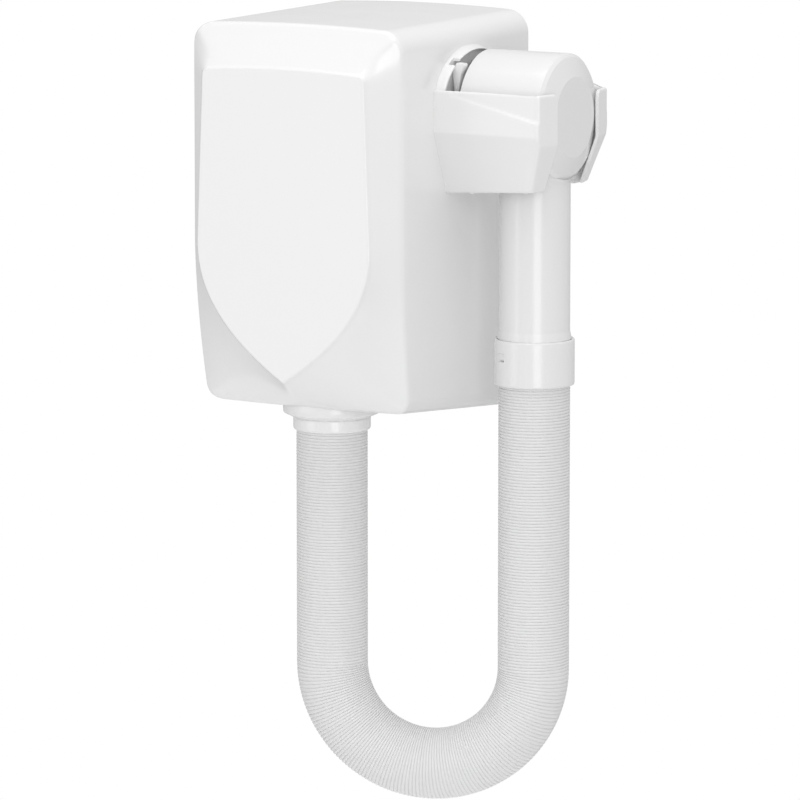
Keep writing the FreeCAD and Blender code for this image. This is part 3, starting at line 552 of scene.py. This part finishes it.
def housing_rings():
    """Rings from mid-shield outwards, over the front edge, back along the sides and round inside."""
    shield, edge = whole(shield_outline()), whole(edge_outline(FRONT_BOTTOM))
    wall = whole(edge_outline(WALL_BOTTOM))
    centre = np.array([0.0, 0.0])
    inward = centre - shield
    inward /= np.linalg.norm(inward, axis=1)[:, None]
    outward = edge - shield
    gap = np.linalg.norm(outward, axis=1)[:, None]
    outward /= gap
    face_shares = (0.03, 0.15, 0.3, 0.45, 0.6, 0.72, 0.82, 0.9, 0.95)
    flat = [centre + (shield - centre) * share for share in face_shares]
    flat += [shield + inward * distance * MM for distance in (1.6, 1.0, 0.6, 0.4, 0.2)]
    flat += [shield] + [shield + outward * distance * MM for distance in (0.2, 0.4, 0.6, 1.0, 1.6)]
    rim = gap - EDGE_ROUND
    for k in range(1, 15):
        flat.append(shield + outward * (CREASE_REACH + (rim - CREASE_REACH) * k / 14))
    rings = [raised(ring, front_depth(ring, shield)) for ring in flat]
    edge_y = np.maximum(front_depth(edge, shield), edge_depth(edge[:, 1]) - 1.0 * MM)
    corner = raised(edge, edge_y)
    back = raised(wall, np.zeros(len(wall)))
    runs = [(there - here).normalized() for here, there in zip(corner, back)]
    lips = rings[-1]
    sides = [here + run * EDGE_ROUND for here, run in zip(corner, runs)]
    for k in range(1, 10):
        share = k / 9
        rings.append([lip.lerp(here, share).lerp(here.lerp(side, share), share)
                      for lip, here, side in zip(lips, corner, sides)])
    for share in (0.03, 0.1, 0.2, 0.35, 0.5, 0.65, 0.8, 0.9, 0.97, 0.994):
        rings.append([side.lerp(there, share) for side, there in zip(sides, back)])
    inner_wall = whole(edge_outline(WALL_BOTTOM, WALL))
    inner_edge = whole(edge_outline(FRONT_BOTTOM, WALL))
    rim_soft = wall + (inner_wall - wall) * 0.25
    rim_hard = wall + (inner_wall - wall) * 0.8
    rings.append(raised(rim_soft, np.zeros(len(wall))))
    rings.append(raised(rim_hard, np.zeros(len(wall))))
    inner_y = edge_depth(inner_edge[:, 1]) + FRONT_WALL
    inner_front, inner_back = raised(inner_edge, inner_y), raised(inner_wall, np.full(len(wall), -0.5 * MM))
    for share in (0.0, 0.1, 0.3, 0.6, 1.0):
        rings.append([there.lerp(here, share) for there, here in zip(inner_back, inner_front)])
    for share in (0.96, 0.6, 0.2):
        ring = shield * share
        rings.append(raised(ring, np.full(len(ring), FACE + FACE_WALL)))
    return rings


spigot_low, spigot_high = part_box("outlet_spigot")
COLUMN = Vector(((spigot_low.x + spigot_high.x) / 2, (spigot_low.y + spigot_high.y) / 2, 0))
FLANGE = 27.4 * MM


def build_cover():
    """Moulded cover, with openings for the outlet, the intake grille, two screws and the tab's arm."""
    piece = make_piece("cover_shell", "wall_unit", "cover_white", ["front_cover"],
                       *skin(housing_rings(), cap_first=True, cap_last=True), sharp=32)
    grille_low, grille_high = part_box("intake_grille")
    slope = math.atan2(FRONT_BOTTOM - WALL_BOTTOM, FRONT_EDGE + SWEEP)
    middle = (grille_low + grille_high) / 2
    reach = (grille_high.y - grille_low.y) / 2 / math.cos(slope)
    below, outlet_top, screw_top = (Vector((0, 0, height)) for height in (-0.128, -0.1, -0.112))
    tools = [
        round_cutter(FLANGE + 0.2 * MM, COLUMN + below, COLUMN + outlet_top, 160),
        block_cutter((grille_low.x - 0.2 * MM, middle.y - reach, middle.z - 8 * MM),
                     (grille_high.x + 0.2 * MM, middle.y + reach, middle.z + 8 * MM), slope, middle),
    ]
    screw_low, screw_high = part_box("cover_screws")
    for x in (screw_low.x, screw_high.x):
        place = Vector((x - math.copysign(3.2 * MM, x), (screw_low.y + screw_high.y) / 2, 0))
        tools.append(round_cutter(1.8 * MM, place + below, place + screw_top, 32))
    arm_low, arm_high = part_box("switch_slider")
    tools.append(block_cutter((HALF_WIDTH - 5 * MM, arm_low.y, ARM_SLOT_LOW),
                              (HALF_WIDTH + 2 * MM, arm_high.y, ARM_SLOT_HIGH)))
    cut_away(piece, tools, sharp=32)


build_cover()


# ---------------------------------------------------------------- outlet and collar
def build_outlet():
    """Flanged outlet under the housing, and the collar that holds the hose on it."""
    neck, lip = 18.2 * MM, 28.7 * MM
    flange_low, flange_top = -114.6 * MM, -103 * MM
    corners = [
        (16.5 * MM, spigot_low.z, 0.3 * MM), (neck, spigot_low.z, 0.4 * MM),
        (neck, flange_low - 1.6 * MM, 0.3 * MM), (22.4 * MM, flange_low - 1.6 * MM, 0.7 * MM),
        (FLANGE - 0.2 * MM, flange_low + 0.7 * MM, 1.0 * MM), (FLANGE, flange_low + 3 * MM, 1.5 * MM),
        (FLANGE, flange_top, 0), (lip, flange_top, 0.2 * MM), (lip, spigot_high.z, 0.2 * MM),
        (16.5 * MM, spigot_high.z, 0.2 * MM),
    ]
    make_piece("outlet_neck", "wall_unit", "cover_white", ["outlet_spigot"], *turned(corners, COLUMN))
    low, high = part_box("hose_collar")
    collar = [
        (18.4 * MM, low.z, 0.3 * MM), (21.3 * MM, low.z, 0.6 * MM), (21.7 * MM, low.z + 1.2 * MM, 0.5 * MM),
        (21.7 * MM, high.z - 0.9 * MM, 0.5 * MM), (21.1 * MM, high.z, 0.3 * MM),
        (18.4 * MM, high.z, 0.2 * MM),
    ]
    make_piece("collar", "wall_unit", "cover_white", ["hose_collar"], *turned(collar, COLUMN))


build_outlet()


# ---------------------------------------------------------------- handset
drum_low, drum_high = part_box("drum_shell")
AXIS_Y = (drum_low.y + drum_high.y) / 2
AXIS_Z = (drum_low.z + drum_high.z) / 2
DRUM = (drum_high.z - drum_low.z) / 2
tube_low, tube_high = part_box("handset_tube")
HANDLE = Vector(((tube_low.x + tube_high.x) / 2, (tube_low.y + tube_high.y) / 2, 0))
TUBE = (tube_high.x - tube_low.x) / 2
TUBE_BORE = TUBE - 2 * MM
cuff_low, cuff_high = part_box("handset_cuff")
CUFF = (cuff_high.x - cuff_low.x) / 2
DRUM_WALL = 2.5 * MM


def build_head():
    """Drum-shaped head, open towards the handle, and the cap on its outer end."""
    middle = Vector((0, AXIS_Y, AXIS_Z))
    shell = [
        (DRUM - DRUM_WALL, drum_low.x, 0.5 * MM), (DRUM, drum_low.x, 1.0 * MM),
        (DRUM, drum_high.x - 0.21 * MM, 0.03 * MM), (DRUM - DRUM_WALL, drum_high.x - 0.21 * MM, 0.1 * MM),
    ]
    drum = make_piece("head_drum", "handset", "handset_white", ["drum_shell"],
                      *turned(stretched(shell), middle, "X", 160))
    cut_away(drum, [round_cutter(TUBE_BORE, HANDLE + Vector((0, 0, AXIS_Z - DRUM - 5 * MM)),
                                 HANDLE + Vector((0, 0, AXIS_Z)))])
    cap_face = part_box("drum_cap")[1].x
    disc = 22.3 * MM
    bore = DRUM - DRUM_WALL - 0.1 * MM
    cap = [
        (0.02 * MM, cap_face, 0), (disc * 0.6, cap_face, 0), (disc, cap_face, 0.5 * MM),
        (DRUM - 2 * MM, drum_high.x + 2 * MM, 0.9 * MM), (DRUM, drum_high.x + 0.3 * MM, 0.9 * MM),
        (DRUM, drum_high.x - 0.2 * MM, 0.03 * MM),
        (bore, drum_high.x - 0.2 * MM, 0.1 * MM), (bore, drum_high.x - 4.5 * MM, 0.4 * MM),
        (bore - 2 * MM, drum_high.x - 4.5 * MM, 0.4 * MM), (bore - 2 * MM, drum_high.x, 0.5 * MM),
        (disc - 2 * MM, cap_face - 2.4 * MM, 0.5 * MM), (0.02 * MM, cap_face - 2.4 * MM, 0),
    ]
    make_piece("head_cap", "handset", "handset_white", ["drum_cap"], *turned(cap, middle, "X", 160), sharp=14)


def stretched(corners, spans=6):
    """Adds corners along a closed outline's long straight stretches, so that the mesh has even faces."""
    outline = []
    for k, corner in enumerate(corners):
        outline.append(corner)
        following = corners[(k + 1) % len(corners)]
        here, there = Vector(corner[:2]), Vector(following[:2])
        if (there - here).length > 15 * MM:
            outline += [(*here.lerp(there, step / spans), 0) for step in range(1, spans)]
    return outline


def build_handle():
    """Handle tube with a soft root under the head and a small bell above the cuff."""
    steps = 128
    low = tube_low.z
    bell_top, bell = cuff_high.z + 4.6 * MM, 0.9 * MM
    outer = [(TUBE, low, 0.3 * MM), (TUBE, cuff_high.z - 0.6 * MM, 0.1 * MM),
             (TUBE + bell, cuff_high.z - 0.2 * MM, 0.3 * MM),
             (TUBE + bell * 0.7, cuff_high.z + 1.2 * MM, 1.2 * MM),
             (TUBE, bell_top, 6 * MM), (TUBE, 0, 0)]
    across, up, along = AXES["Z"]
    rings = [circle(HANDLE + along * height, across, up, radius, steps)
             for radius, height in eased(outer, closed=False)]
    root = ((TUBE, 3.2), (TUBE + 0.2 * MM, 2.0), (TUBE + 0.7 * MM, 1.0), (TUBE + 1.6 * MM, 0.25),
            (TUBE + 2.6 * MM, -0.25), (TUBE_BORE, -0.2))
    for radius, flare in root:
        ring = []
        for k in range(steps):
            turn = 2 * math.pi * k / steps
            offset = radius * math.sin(turn)
            height = AXIS_Z - math.sqrt(DRUM**2 - offset**2) - flare * MM
            ring.append(HANDLE + Vector((radius * math.cos(turn), offset, height)))
        rings.append(ring)
    for height in (0, -0.04, low + 0.001):
        rings.append(circle(HANDLE + along * height, across, up, TUBE_BORE, steps))
    make_piece("handle", "handset", "handset_white", ["handset_tube"], *skin(rings, around=True))


def build_cuff():
    """Cuff that joins hose and handle, with a window for the catch."""
    bore = TUBE_BORE
    corners = [
        (bore, cuff_low.z, 0.3 * MM), (CUFF - 0.2 * MM, cuff_low.z, 0.2 * MM),
        (CUFF, cuff_low.z + 1 * MM, 0.5 * MM), (CUFF, cuff_high.z - 1 * MM, 0.5 * MM),
        (CUFF - 0.6 * MM, cuff_high.z, 0.5 * MM), (TUBE + 1.4 * MM, cuff_high.z - 0.2 * MM, 0.2 * MM),
        (TUBE + 0.2 * MM, cuff_high.z - 1.2 * MM, 0.2 * MM), (TUBE + 0.2 * MM, tube_low.z, 0.1 * MM),
        (bore, tube_low.z, 0.2 * MM),
    ]
    piece = make_piece("cuff", "handset", "handset_white", ["handset_cuff"],
                       *turned(stretched(corners, 4), HANDLE))
    catch_low, catch_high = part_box("cuff_catch")
    cut_away(piece, [block_cutter((catch_low.x - 0.3 * MM, catch_low.y - 2 * MM, catch_low.z - 1.1 * MM),
                                  (catch_high.x + 0.3 * MM, catch_high.y, catch_high.z + 0.2 * MM))])


build_head()
build_handle()
build_cuff()


# ---------------------------------------------------------------- holder
ROOT = HALF_WIDTH + 0.04 * MM
HOLDER_RIM = 72 * MM
HOLDER_FLOOR = 68 * MM
ROOT_HALF, ROOT_TAPER = 40.5 * MM, 14.1 * MM
ARCH_SPRING, ARCH_RISE = 5 * MM, 30.5 * MM
SKIN = 2.4 * MM
WING_TOP = 15.2 * MM
WING_FOOT = -43 * MM
FOOT_RISE = 3.8 * MM
CREASE = -8 * MM
EDGE_SPAN = 1.4 * MM
EDGE_EASE = ((0, 0.75 * MM), (0.25 * MM, 0.35 * MM), (0.7 * MM, 0.08 * MM), (EDGE_SPAN, 0))
TOP_ROUND = 3.2 * MM
DIP_START, DIP_RUN, DIP = 122 * MM, 9 * MM, 2.4 * MM
RIDGE_START, RIDGE_END = (75.7 * MM, 13.1 * MM), (130.5 * MM, -0.7 * MM)


def soft_rise(value, width):
    """Zero below nought and value above it, with a smooth turn as wide as width."""
    return 0.5 * (value + math.sqrt(value**2 + width**2)) - 0.5 * width * math.exp(-abs(value) / width)


def wing_plan(level, inset):
    """Half-plan of a wing at a level, as (x, distance from the head's axis plane), moved in by inset."""
    taper = soft_rise(CREASE - level, 4 * MM) / (CREASE - WING_FOOT)
    draw = soft_rise(CREASE - 5 * MM - level, 7 * MM) / (CREASE - 5 * MM - WING_FOOT)
    corner = (131.8 * MM - 9.3 * MM * draw - inset, 41.3 * MM - 8.6 * MM * taper - inset)
    lip = (134.95 * MM - 10.3 * MM * draw - inset * 0.85, 24.2 * MM - 1.6 * MM * draw)
    root = (ROOT, ROOT_HALF - ROOT_TAPER * taper - inset)
    return root, corner, lip


def wing_path(level, inset, count=92):
    """Evenly numbered points of a wing's plan from its root to its lip, with the corner rounded."""
    root, corner, lip = wing_plan(level, inset)
    round_off = 1.8 * MM
    line = eased([(*root, 0), (*corner, round_off + 0.001), (*lip, 0)], closed=False, steps=8)
    lead = [line[0].lerp(line[1], share / (count - 30)) for share in range(count - 30)]
    tail = [line[-2].lerp(line[-1], share / 20) for share in range(1, 21)]
    return lead + line[1:-1] + tail


plans = {}


def wing_points(level, inset):
    """Cached plan of a wing, because many of its points share a level."""
    key = (round(level * 1e6), round(inset * 1e6))
    if key not in plans:
        plans[key] = wing_path(level, inset)
    return plans[key]


def panel_depth(x, level):
    """How far the wing's upper panel lies behind its ridge, which widens from root to corner."""
    share = (x - RIDGE_START[0]) / (RIDGE_END[0] - RIDGE_START[0])
    if share <= 0:
        return 0.0
    line = RIDGE_START[1] + (RIDGE_END[1] - RIDGE_START[1]) * share
    width = (0.5 + 1.7 * min(share, 1)) * MM
    rise = min(max((level - line) / width, 0), 1)
    return (0.35 + 1.15 * min(share, 1)) * MM * rise * rise * (3 - 2 * rise)


def wing(side):
    """One wing as a closed skin, with eased edges, its raised ridge and its turned-in lip."""
    sample = wing_path(WING_TOP, 0)
    count = len(sample)
    tops, feet = [], []
    for point in sample:
        reach = (sample[-1] - point).length
        fall = 0
        if reach < TOP_ROUND:
            fall = TOP_ROUND - math.sqrt(max(TOP_ROUND**2 - (TOP_ROUND - reach) ** 2, 0))
        near_end = min(max((point.x - DIP_START) / DIP_RUN, 0), 1) if side > 0 else 0
        tops.append(WING_TOP - fall - DIP * near_end**2 * (3 - 2 * near_end))
        feet.append(WING_FOOT + FOOT_RISE * min((point.x - ROOT) / (RIDGE_END[0] - ROOT), 1))
    stations = [("top", row, ease) for row, ease in EDGE_EASE]
    stations += [("share", k / 60, 0) for k in range(1, 60)]
    stations += [("foot", row, ease) for row, ease in reversed(EDGE_EASE)]
    rings = []
    for kind, value, eased_by in stations:
        outer, inner = [], []
        for k in range(count):
            low, high = feet[k] + EDGE_SPAN, tops[k] - EDGE_SPAN
            levels = {"top": tops[k] - value, "foot": feet[k] + value, "share": high + (low - high) * value}
            level = levels[kind]
            x, across = wing_points(level, eased_by)[k]
            sunk = panel_depth(x, level) * min(max((count - 21 - k) / 8, 0), 1)
            outer.append(Vector((x, AXIS_Y + side * (across - sunk), AXIS_Z + level)))
            x, across = wing_points(level, SKIN - eased_by)[k]
            inner.append(Vector((x, AXIS_Y + side * across, AXIS_Z + level)))
        rings.append(outer + inner[::-1])
    points, faces = skin(rings)
    size = 2 * count
    last = (len(rings) - 1) * size
    for k in range(count - 1):
        for base in (0, last):
            faces.append((base + k, base + k + 1, base + size - 2 - k, base + size - 1 - k))
    return points, faces


def base_outline(inset, flare, steps=32):
    """Outline of the holder's base as (distance from the axis plane, level): an arch over a tapered foot."""
    half, rise = ROOT_HALF - 0.3 * MM - 1.3 * inset, ARCH_RISE - 0.7 * inset
    right = []
    for k in range(steps + 1):
        angle = math.pi / 2 * (1 - k / steps)
        grow = flare * math.sin(angle)
        right.append(((half + grow) * math.cos(angle), ARCH_SPRING + (rise + grow) * math.sin(angle)))
    right += [(half, ARCH_SPRING + (CREASE - ARCH_SPRING) * k / 6) for k in range(1, 6)]
    foot = WING_FOOT + 0.2 * MM + inset
    for k in range(13):
        level = CREASE + (foot - CREASE) * k / 12
        taper = soft_rise(CREASE - level, 3 * MM) / (CREASE - WING_FOOT)
        right.append((half - ROOT_TAPER * taper, level))
    corner = right[-1][0]
    right += [(corner * (1 - k / 8), foot) for k in range(1, 9)]
    return right + [(-y, level) for y, level in right[-2:0:-1]]


def base():
    """Flared base plate with a raised rim round a shallow recess."""
    rim, floor = HOLDER_RIM, HOLDER_FLOOR
    stations = [(ROOT, 0, 1.6), (ROOT + 0.5 * MM, 0, 0.9), (ROOT + 1.4 * MM, 0, 0.35),
                (ROOT + 2.6 * MM, 0, 0.05), (rim - 0.7 * MM, 0, 0), (rim - 0.25 * MM, 0.15, 0),
                (rim, 0.55, 0), (rim, 1.1, 0), (rim - 0.25 * MM, 1.5, 0), (rim - 0.8 * MM, 1.7, 0),
                (floor + 0.4 * MM, 1.7, 0), (floor, 2.1, 0)]
    rings = [[Vector((x, AXIS_Y + y, AXIS_Z + level)) for y, level in base_outline(inset * MM, flare * MM)]
             for x, inset, flare in stations]
    return skin(rings, cap_first=True, cap_last=True)


def rib(x, thick, outline):
    """An upright rib across the cradle, from its outline about the head's axis in millimetres."""
    rings = [[Vector((place, AXIS_Y + y * MM, AXIS_Z + level * MM)) for y, level in outline]
             for place in (x, x + thick)]
    return cutter(*skin(rings, cap_first=True, cap_last=True))


def build_cradle():
    """Holder: its base, two wings, the ribs of the saddle and the bed between the wings' feet."""
    piece = make_piece("cradle", "wall_unit", "holder_white", ["holder_bracket"], *base())
    saddle = DRUM + 0.3 * MM
    ribs = [rib(82 * MM, 2.5 * MM, [(-39, -9), (39, -9), (34, -22), (27, -42.5), (-27, -42.5), (-34, -22)])]
    for side in (-1, 1):
        ribs.append(rib(117.5 * MM, 2.5 * MM, [(side * 24, -39.9), (side * 31, -39.9), (side * 36.5, -22),
                                               (side * 39.5, -9), (side * 24, -9)]))
    for thing in ribs:
        space = round_cutter(saddle, Vector((ROOT, AXIS_Y, AXIS_Z)), Vector((0.14, AXIS_Y, AXIS_Z)), 160)
        cut_away(thing, [space])
    bed = block_cutter((HOLDER_FLOOR - 1 * MM, AXIS_Y - 26 * MM, AXIS_Z + WING_FOOT + 1.6 * MM),
                       (87 * MM, AXIS_Y + 26 * MM, AXIS_Z + WING_FOOT + 3.6 * MM))
    arm_low, arm_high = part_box("switch_slider")
    cut_away(piece, [block_cutter((HALF_WIDTH - 3 * MM, arm_low.y, ARM_SLOT_LOW),
                                  (HOLDER_FLOOR + 1 * MM, arm_high.y, ARM_SLOT_HIGH)),
                    block_cutter((HOLDER_FLOOR, arm_low.y - 0.4 * MM, arm_high.z - 12 * MM),
                                 (HOLDER_RIM + 1 * MM, arm_high.y + 0.4 * MM, arm_high.z + 8 * MM))])
    gather(piece, [bed, *ribs, *(cutter(*wing(side)) for side in (-1, 1))], sharp=28)


def build_tab():
    """Switch tab: an upright blade that widens to a rounded top, its toe, and the arm to the switch."""
    low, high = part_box("switch_slider")
    x0, toe, top = 68.9 * MM, high.x, high.z
    arm_low, arm_high = 38.3 * MM, 42.3 * MM
    outline = eased([
        (x0, low.z, 0.3 * MM), (toe, low.z, 0.6 * MM), (toe, low.z + 2.6 * MM, 0.6 * MM),
        (74 * MM, low.z + 3 * MM, 1 * MM), (74.1 * MM, top - 17 * MM, 3 * MM),
        (75.3 * MM, top - 7 * MM, 3 * MM), (77.4 * MM, top - 1.6 * MM, 0.8 * MM),
        (77 * MM, top - 0.4 * MM, 0.6 * MM), (72.5 * MM, top, 1.2 * MM),
        (70.2 * MM, top - 5 * MM, 1.5 * MM), (71.4 * MM, top - 16 * MM, 3 * MM), (x0, top - 26 * MM, 3 * MM),
        (x0, arm_high, 0.2 * MM), (low.x, arm_high, 0.4 * MM), (low.x, arm_low, 0.4 * MM),
        (x0, arm_low, 0.2 * MM),
    ])
    rings = []
    soft = 0.5 * MM
    for y, shrink in ((low.y, soft), (low.y + 0.15 * MM, 0.15 * MM), (low.y + soft, 0), (high.y - soft, 0),
                      (high.y - 0.15 * MM, 0.15 * MM), (high.y, soft)):
        ring = []
        for k, point in enumerate(outline):
            ahead = outline[(k + 1) % len(outline)] - outline[k - 1]
            inward = Vector((-ahead.y, ahead.x)).normalized()
            spot = point + inward * shrink
            ring.append(Vector((spot.x, y, spot.y)))
        rings.append(ring)
    make_piece("switch_tab", "switch_tab", "holder_white", ["switch_slider"],
               *skin(rings, cap_first=True, cap_last=True), sharp=40)


build_cradle()
build_tab()


# ---------------------------------------------------------------- floor and light
def area_light(name, place, target, width, height, power):
    """A rectangular lamp that faces a target."""
    data = bpy.data.lights.new(name, "AREA")
    data.shape = "RECTANGLE"
    data.size, data.size_y = width, height
    data.energy = power
    lamp = bpy.data.objects.new(name, data)
    lamp.location = place
    lamp.rotation_euler = (Vector(target) - Vector(place)).to_track_quat("-Z", "Y").to_euler()
    scene.collection.objects.link(lamp)


def build_floor():
    """Plain pale floor well below the part."""
    floor_height = cad_box[0].z - 0.4
    half = 0.7
    mesh = bpy.data.meshes.new("floor")
    corners = ((-half, -half), (half, -half), (half, half), (-half, half))
    mesh.from_pydata([(x, y, floor_height) for x, y in corners], [], [(0, 1, 2, 3)])
    floor = bpy.data.objects.new("floor", mesh)
    scene.collection.objects.link(floor)
    pale = moulded("floor_pale", (0.85, 0.85, 0.85), 0.8, coat=0)
    shader = pale.node_tree.nodes["Principled BSDF"]
    shader.inputs["Emission Color"].default_value = (1, 1, 1, 1)
    shader.inputs["Emission Strength"].default_value = 0.15
    mesh.materials.append(pale)


def build_world():
    """White ground for the camera, and a glow that grows from below upwards for the light."""
    world = bpy.data.worlds.new("studio")
    world.use_nodes = True
    nodes, links = world.node_tree.nodes, world.node_tree.links
    seen, cast = nodes["Background"], nodes.new("ShaderNodeBackground")
    seen.inputs["Color"].default_value = (1, 1, 1, 1)
    seen.inputs["Strength"].default_value = 1.0
    cast.inputs["Color"].default_value = (1, 1, 1, 1)
    where, height, glow = (nodes.new(f"ShaderNode{kind}") for kind in ("TexCoord", "SeparateXYZ", "MapRange"))
    glow.inputs["From Min"].default_value = -1
    glow.inputs["To Min"].default_value = 0.38
    glow.inputs["To Max"].default_value = 0.82
    links.new(where.outputs["Generated"], height.inputs["Vector"])
    links.new(height.outputs["Z"], glow.inputs["Value"])
    links.new(glow.outputs["Result"], cast.inputs["Strength"])
    path, mix = nodes.new("ShaderNodeLightPath"), nodes.new("ShaderNodeMixShader")
    links.new(path.outputs["Is Camera Ray"], mix.inputs["Fac"])
    links.new(cast.outputs["Background"], mix.inputs[1])
    links.new(seen.outputs["Background"], mix.inputs[2])
    links.new(mix.outputs["Shader"], nodes["World Output"].inputs["Surface"])
    scene.world = world


build_floor()
build_world()
scene.view_settings.view_transform = "Standard"
area_light("overhead", (0.2, -0.3, 1.8), (0, -0.05, 0), 1.6, 1.6, 11)
area_light("front_left", (-1.4, -2.0, 0.2), (0, 0, -0.05), 1.2, 1.6, 7)
area_light("front_right", (1.4, -1.8, 0.2), (0.05, -0.1, 0), 0.9, 1.8, 14)
